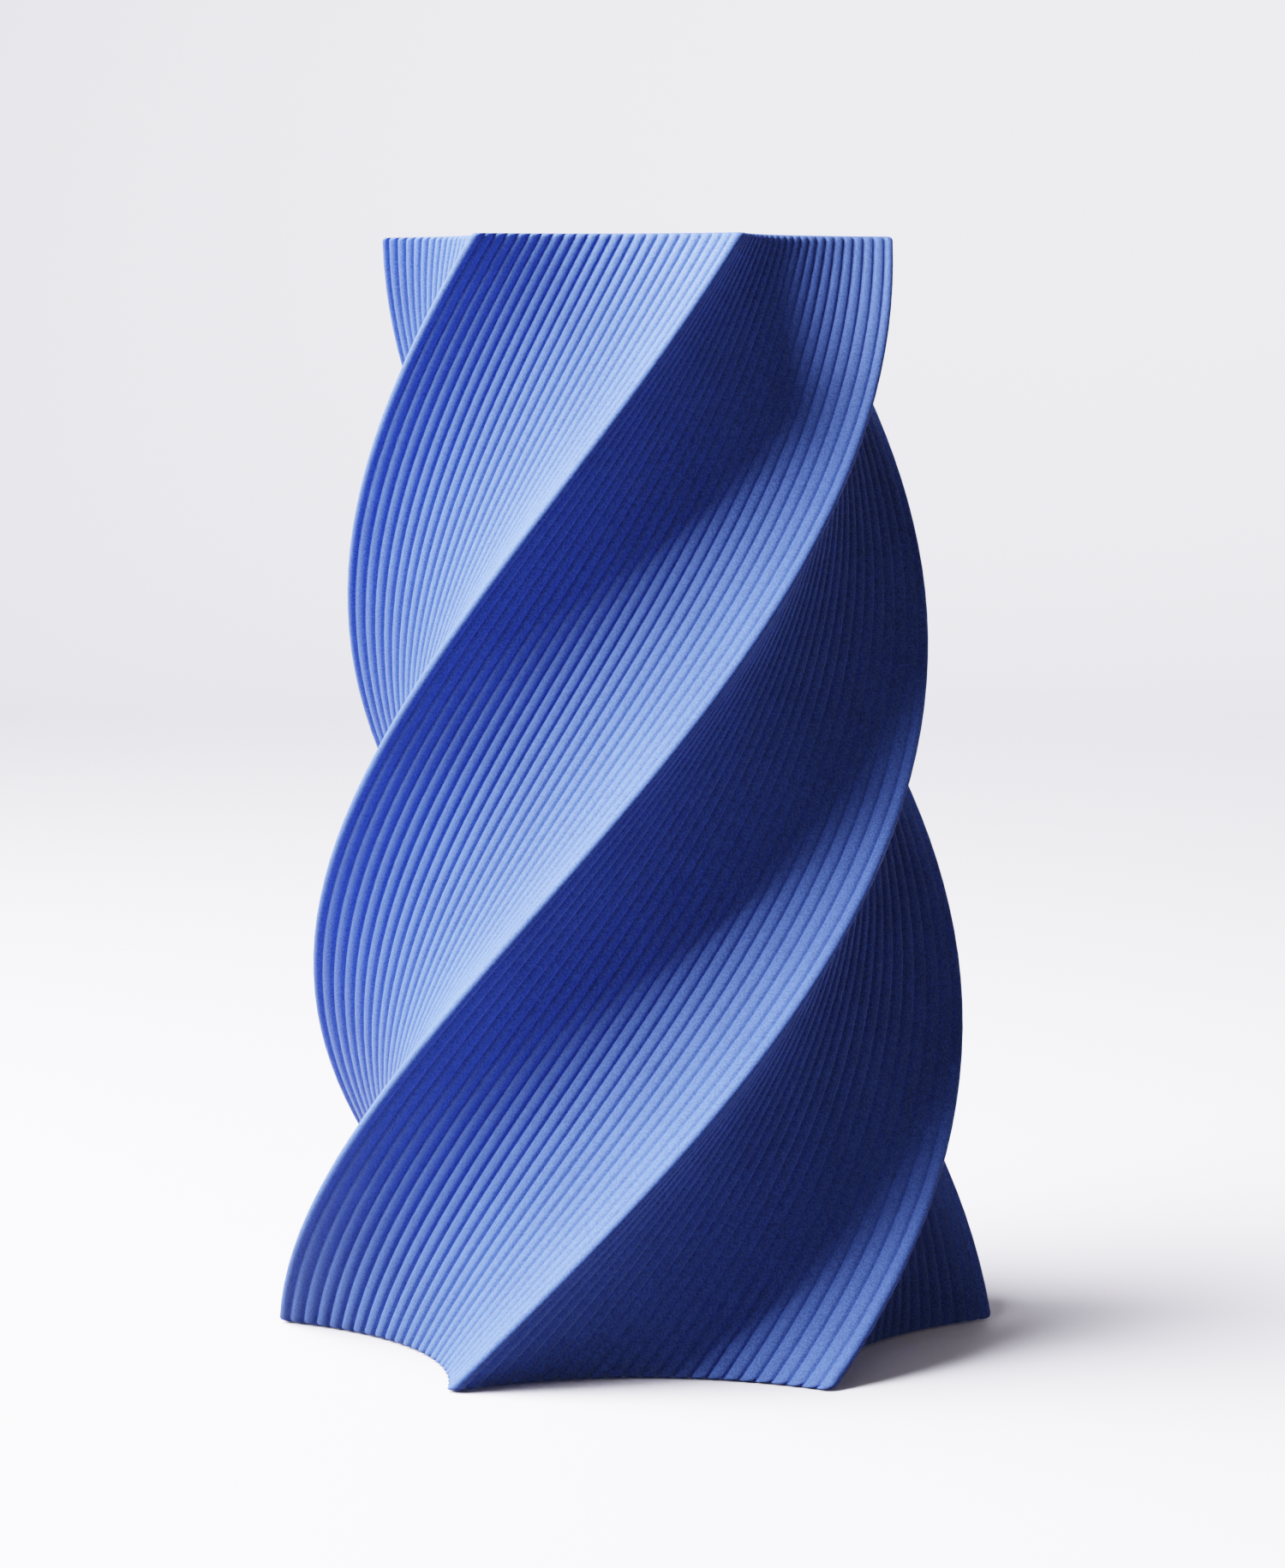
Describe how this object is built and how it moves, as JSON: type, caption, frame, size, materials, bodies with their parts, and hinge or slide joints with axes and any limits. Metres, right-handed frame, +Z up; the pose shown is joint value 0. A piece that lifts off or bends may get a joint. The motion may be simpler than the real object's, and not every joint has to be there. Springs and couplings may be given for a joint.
{
  "type": "vase",
  "caption": "Tall twisted vase with a star-shaped section and finely ribbed hollow faces, tapering to an open rim, with a lift-out glass liner and rubber foot pads.",
  "frame": {"origin": "on the surface that the vase stands on, under its middle", "axes": "+Z up along the vase's axis, +X towards one point of the star at the foot; the star turns counter-clockwise from above as it rises"},
  "size_m": [0.1582, 0.1498, 0.24],
  "materials": {
    "shell": "dyed sintered polymer, matt, very fine grain",
    "glass": "clear, polished, rounded lip",
    "rubber": "matt moulded"
  },
  "bodies": {
    "vase": {"vase_body": "shell", "foot_pad_1": "rubber", "foot_pad_2": "rubber", "foot_pad_3": "rubber", "foot_pad_4": "rubber", "foot_pad_5": "rubber", "foot_pad_6": "rubber"},
    "liner": {"glass_liner": "glass"}
  },
  "joints": [
    {"name": "liner_lift", "type": "slide", "parent": "vase", "child": "liner", "axis": [0, 0, 1], "range_m": [0, 0.24]}
  ]
}
